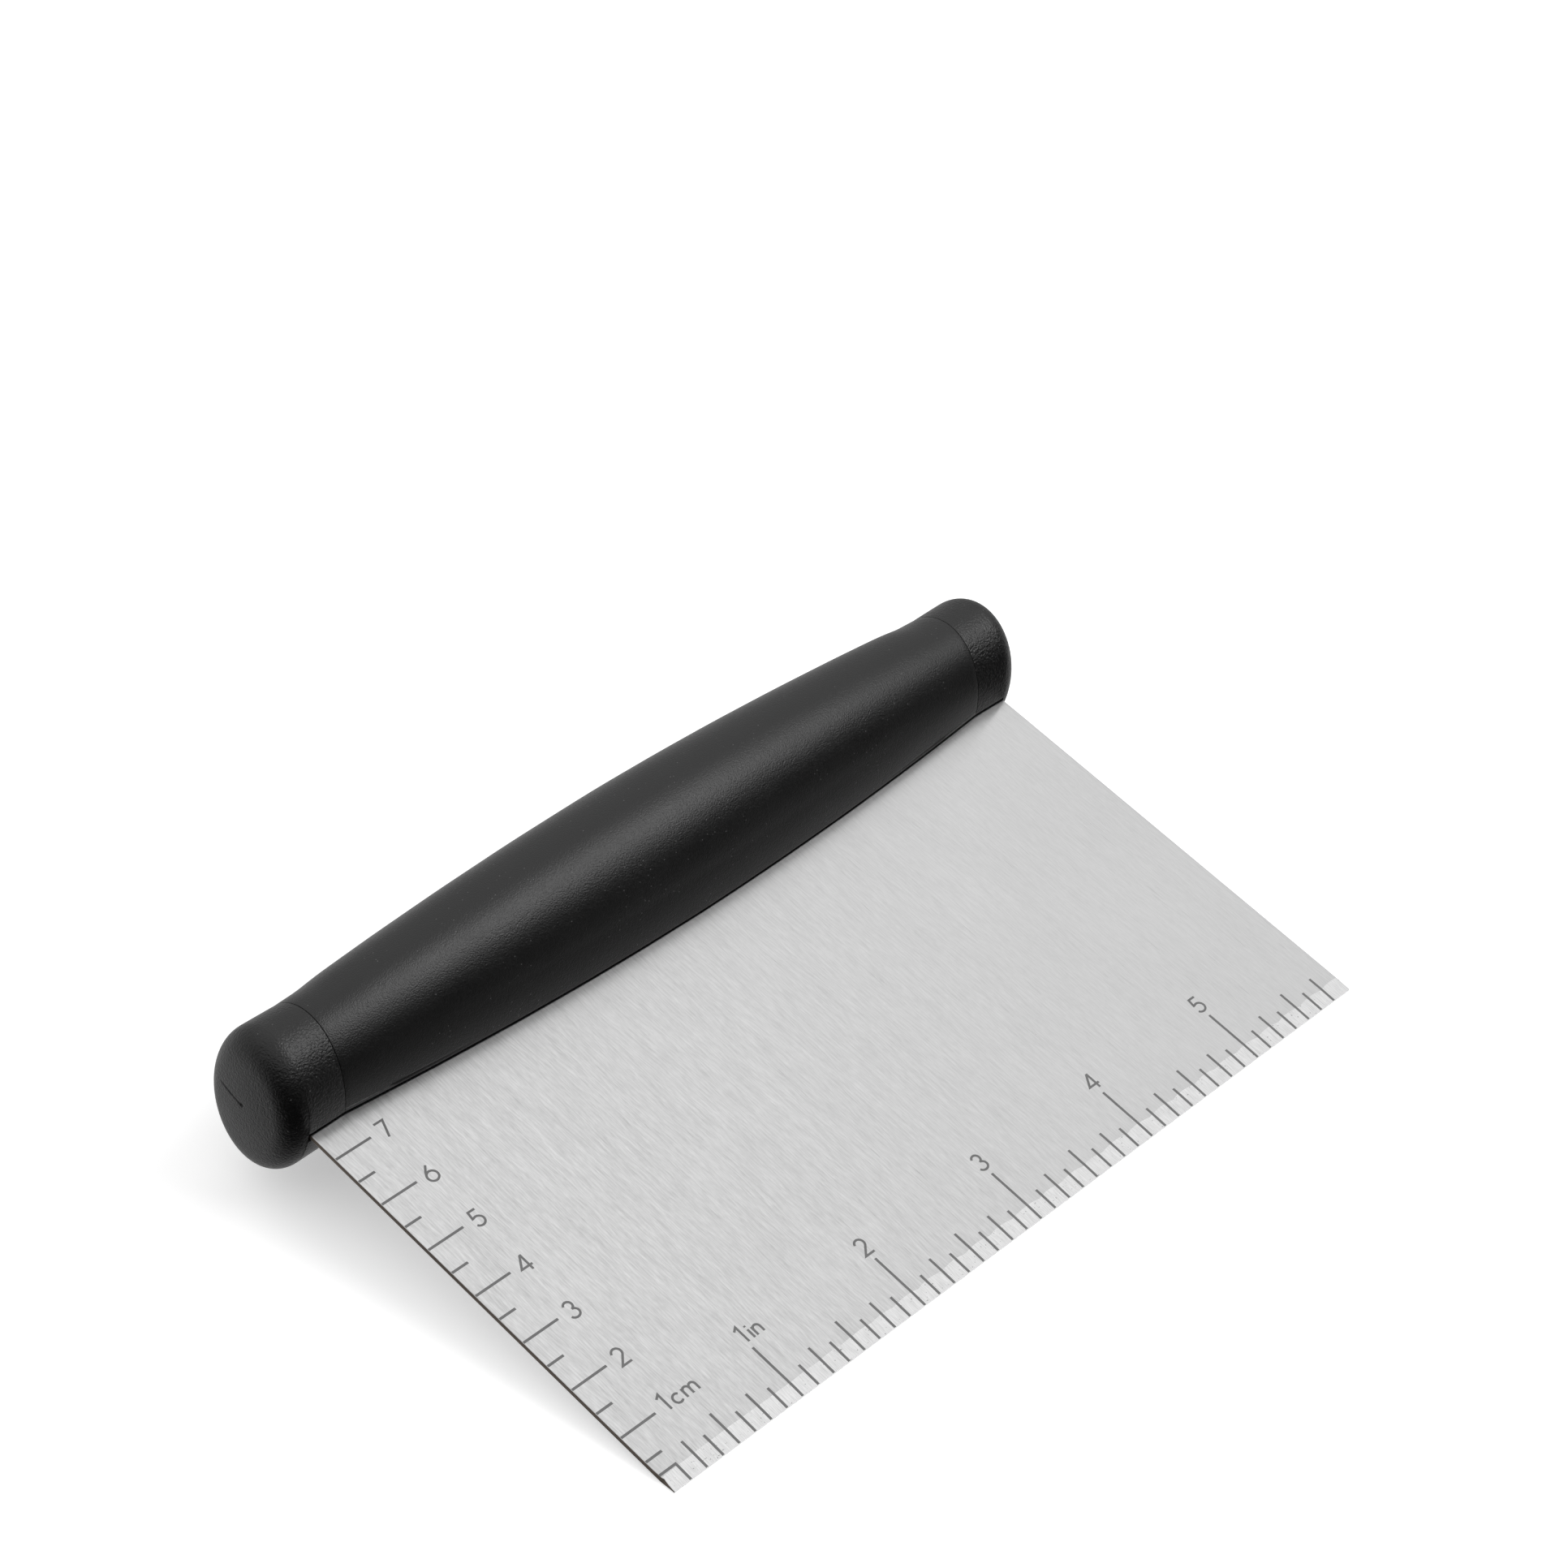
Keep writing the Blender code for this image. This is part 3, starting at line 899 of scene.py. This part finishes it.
def sheared_steel():
    """The sheet's cut sides: a torn band with fine lines across its thickness."""
    material, tree, shader = new_material("sheared_steel")
    where = places(tree)
    torn = grain(tree, where, (0.5 * MM, 0.8 * MM, 0.12 * MM), 4.0)
    lines = grain(tree, where, (0.25 * MM, 30 * MM, 0.16 * MM), 1.0)
    grey = blend(tree, SHEARED_GREY, (torn, 0.16), (lines, 0.24))
    colour = add_node(tree, "ShaderNodeVectorMath", {0: grey, 1: SHEARED_TINT}, operation="MULTIPLY")
    tree.links.new(colour.outputs[0], shader.inputs["Base Color"])
    tree.links.new(blend(tree, 0.52, (torn, 0.2)), shader.inputs["Roughness"])
    shader.inputs["Metallic"].default_value = 1.0
    tree.links.new(bump(tree, blend(tree, torn, (lines, 1.0)), 0.02 * MM), shader.inputs["Normal"])
    return material


def mark_ink():
    """The grey of the etched ruler marks, slightly broken by the steel's grain."""
    material, tree, shader = new_material("mark_grey")
    where = places(tree)
    fine = grain(tree, where, (0.12 * MM, 0.5 * MM, 0.12 * MM), 3.0)
    worn = grain(tree, where, (2.4 * MM, 3 * MM, 3 * MM), 2.0)
    tree.links.new(blend(tree, INK_GREY, (fine, 0.06), (worn, 0.04)), shader.inputs["Base Color"])
    tree.links.new(blend(tree, 0.62, (fine, 0.2)), shader.inputs["Roughness"])
    shader.inputs["Metallic"].default_value = 0.0
    tree.links.new(bump(tree, fine, 0.006 * MM), shader.inputs["Normal"])
    return material


def specks(tree, where, pitch, radius, share):
    """1 inside small round spots scattered about that far apart, of which only a share show."""
    cells = {"Vector": stretched(tree, where, (pitch,) * 3), "Scale": 1.0}
    spots = add_node(tree, "ShaderNodeTexVoronoi", cells)
    inside = calculate(tree, "LESS_THAN", spots.outputs["Distance"], radius / pitch)
    chosen = add_node(tree, "ShaderNodeSeparateColor", {"Color": spots.outputs["Color"]}).outputs[0]
    return calculate(tree, "MULTIPLY", inside, calculate(tree, "LESS_THAN", chosen, share))


def black_plastic(name, texture):
    """Satin black moulding: a spark-eroded texture, faint clouds and clusters of dust."""
    pitch, texture_height = texture
    material, tree, shader = new_material(name)
    where = places(tree)
    fine = grain(tree, where, (pitch,) * 3, 2.0)
    coarse = grain(tree, where, (0.6 * MM,) * 3, 2.0)
    clouds = grain(tree, where, (11 * MM, 7 * MM, 7 * MM), 3.0)
    dusty = ramp(tree, grain(tree, where, (9 * MM,) * 3, 1.0), -0.10, 0.16)
    share = calculate(tree, "MULTIPLY", dusty, DUST_SHARE)
    dust = specks(tree, where, DUST_PITCH, DUST_RADIUS, share)
    colour = blend(tree, PLASTIC_GREY, (coarse, 0.001), (clouds, 0.001), (dust, 0.07))
    tree.links.new(colour, shader.inputs["Base Color"])
    roughness = blend(tree, PLASTIC_ROUGHNESS, (fine, 0.10), (coarse, 0.06), (clouds, 0.10))
    tree.links.new(roughness, shader.inputs["Roughness"])
    shader.inputs["Metallic"].default_value = 0.0
    shader.inputs["IOR"].default_value = PLASTIC_IOR
    height = blend(tree, fine, (coarse, 0.4), (dust, 0.8))
    tree.links.new(bump(tree, height, texture_height), shader.inputs["Normal"])
    return material


def core_plastic():
    """The hidden cores: plain moulded plastic, with flow lines along their length."""
    material, tree, shader = new_material("core_plastic")
    where = places(tree)
    flow = grain(tree, where, (14 * MM, 1.2 * MM, 1.2 * MM), 3.0)
    fine = grain(tree, where, (0.4 * MM,) * 3, 2.0)
    tree.links.new(blend(tree, CORE_GREY, (flow, 0.012), (fine, 0.006)), shader.inputs["Base Color"])
    tree.links.new(blend(tree, 0.58, (flow, 0.15), (fine, 0.1)), shader.inputs["Roughness"])
    tree.links.new(bump(tree, blend(tree, fine, (flow, 0.8)), 0.02 * MM), shader.inputs["Normal"])
    return material


def rivet_steel():
    """The hidden rivets: drawn wire, finely lined along its length and a little stained."""
    material, tree, shader = new_material("rivet_steel")
    where = places(tree)
    fine = grain(tree, where, (0.2 * MM, 0.2 * MM, 1.5 * MM), 3.0)
    stain = grain(tree, where, (1.5 * MM,) * 3, 2.0)
    tree.links.new(blend(tree, RIVET_GREY, (fine, 0.12), (stain, 0.14)), shader.inputs["Base Color"])
    tree.links.new(blend(tree, 0.42, (fine, 0.12), (stain, 0.1)), shader.inputs["Roughness"])
    shader.inputs["Metallic"].default_value = 1.0
    tree.links.new(bump(tree, fine, 0.01 * MM), shader.inputs["Normal"])
    return material


def floor_paint():
    """A pale matt sweep with a barely visible mottling, which glows a little so that it stays white."""
    material, tree, shader = new_material("floor_paint")
    mottle = grain(tree, places(tree), (0.25, 0.25, 0.25), 2.0)
    tree.links.new(blend(tree, FLOOR_GREY, (mottle, 0.01)), shader.inputs["Base Color"])
    shader.inputs["Roughness"].default_value = 0.9
    shader.inputs["Emission Color"].default_value = (1.0, 1.0, 1.0, 1.0)
    shader.inputs["Emission Strength"].default_value = FLOOR_GLOW
    return material


# ---------------------------------------------------------------- stage


def add_floor():
    """A wide pale floor at z = 0, where the scraper lies. Reflections don't show it."""
    signs = [(-1, -1), (1, -1), (1, 1), (-1, 1)]
    corners = [(FLOOR_REACH * x, FLOOR_REACH * y, 0) for x, y in signs]
    mesh = bpy.data.meshes.new("floor")
    mesh.from_pydata(corners, [], [(0, 1, 2, 3)])
    mesh.materials.append(floor_paint())
    floor = bpy.data.objects.new("floor", mesh)
    floor.visible_glossy = False
    bpy.context.scene.collection.objects.link(floor)


def add_world():
    """A room that is bright above, dimmer low behind, and dark low at the front and left."""
    world = bpy.data.worlds.new("studio")
    bpy.context.scene.world = world
    world.use_nodes = True
    tree = world.node_tree
    direction = add_node(tree, "ShaderNodeTexCoord").outputs["Generated"]
    vectors = {0: direction, 1: BACK_OF_ROOM}
    facing = add_node(tree, "ShaderNodeVectorMath", vectors, operation="DOT_PRODUCT")
    from_behind = ramp(tree, facing.outputs["Value"], -0.45, 0.30)
    height = add_node(tree, "ShaderNodeSeparateXYZ", {"Vector": direction}).outputs["Z"]
    high = ramp(tree, height, 0.05, 0.95)
    low = calculate(tree, "MULTIPLY", ramp(tree, height, -0.15, -0.50), ramp(tree, height, -1.0, -0.45))
    wall = blend(tree, BACK_LIGHT, (high, HIGH_BACK_LIGHT), (low, LOW_BACK_LIGHT))
    back = calculate(tree, "MULTIPLY", from_behind, wall)
    front = calculate(tree, "MULTIPLY", ramp(tree, height, 0.10, 0.55), HIGH_FRONT_LIGHT)
    brighter = calculate(tree, "MAXIMUM", back, front)
    brightness = calculate(tree, "MAXIMUM", brighter, DARKEST_LIGHT)
    background = tree.nodes["Background"]
    background.inputs["Color"].default_value = (1.0, 1.0, 1.0, 1.0)
    tree.links.new(brightness, background.inputs["Strength"])


def add_softbox():
    """A large lamp, high in front and to the right, that faces the scraper."""
    light = bpy.data.lights.new("key_softbox", "AREA")
    light.shape = "RECTANGLE"
    light.size, light.size_y = SOFTBOX_SIZE
    light.energy = SOFTBOX_POWER
    lamp = bpy.data.objects.new("key_softbox", light)
    away = Vector(SOFTBOX_DIRECTION).normalized()
    lamp.location = away * SOFTBOX_DISTANCE
    lamp.rotation_mode = "QUATERNION"
    lamp.rotation_quaternion = away.to_track_quat("Z", "Y")
    bpy.context.scene.collection.objects.link(lamp)
    return lamp


def keep_light_off(lamp, piece):
    """Shade one piece from the lamp, so that its flat shiny face isn't blown out."""
    receivers = bpy.data.collections.new(lamp.name + "_receivers")
    receivers.objects.link(piece)
    receivers.collection_objects[0].light_linking.link_state = "EXCLUDE"
    lamp.light_linking.receiver_collection = receivers


def add_camera():
    """The view from the front left and above, a little rolled."""
    data = bpy.data.cameras.new("camera")
    data.lens = CAMERA_LENS
    data.clip_start = 0.01
    camera = bpy.data.objects.new("camera", data)
    level = math.cos(CAMERA_ELEVATION)
    back = Vector((math.sin(CAMERA_AZIMUTH), -math.cos(CAMERA_AZIMUTH), 0.0)) * level
    back.z = math.sin(CAMERA_ELEVATION)
    upright = (-back).to_track_quat("-Z", "Y").to_matrix()
    rolled = upright @ Matrix.Rotation(-CAMERA_ROLL, 3, "Z")
    place = Vector(CAMERA_TARGET) + back * CAMERA_DISTANCE
    camera.matrix_world = Matrix.Translation(place) @ rolled.to_4x4()
    bpy.context.scene.collection.objects.link(camera)
    bpy.context.scene.camera = camera


def build_object():
    """Every visible piece, and the materials of the CAD nodes that are kept."""
    build_blade([brushed_steel(), ground_steel(), sheared_steel(), edge_steel()])
    build_sleeve(black_plastic("grip_plastic", GRIP_TEXTURE))
    cap_material = black_plastic("cap_plastic", CAP_TEXTURE)
    build_cap("end_plug_left", -1, cap_material, "end_cap_left")
    build_cap("end_plug_right", 1, cap_material, "end_cap_right")
    ink = mark_ink()
    add_marks("inch_scale", inch_tick_lines(), MARK_WIDTH, ink)
    add_marks("inch_numerals", inch_numeral_lines(), NUMERAL_WIDTH, ink)
    add_marks("cm_scale", cm_tick_lines(), MARK_WIDTH, ink)
    add_marks("cm_numerals", cm_numeral_lines(), NUMERAL_WIDTH, ink)
    finishes = {"core": core_plastic(), "rivet": rivet_steel()}
    for name, node in frame["nodes"].items():
        for kind, material in finishes.items():
            if name.startswith(kind):
                node.material_slots[0].material = material


def main():
    """Build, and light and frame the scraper."""
    build_object()
    add_floor()
    add_world()
    keep_light_off(add_softbox(), bpy.data.objects["blade_sheet"])
    add_camera()
    bpy.context.scene.view_settings.view_transform = "Standard"


main()
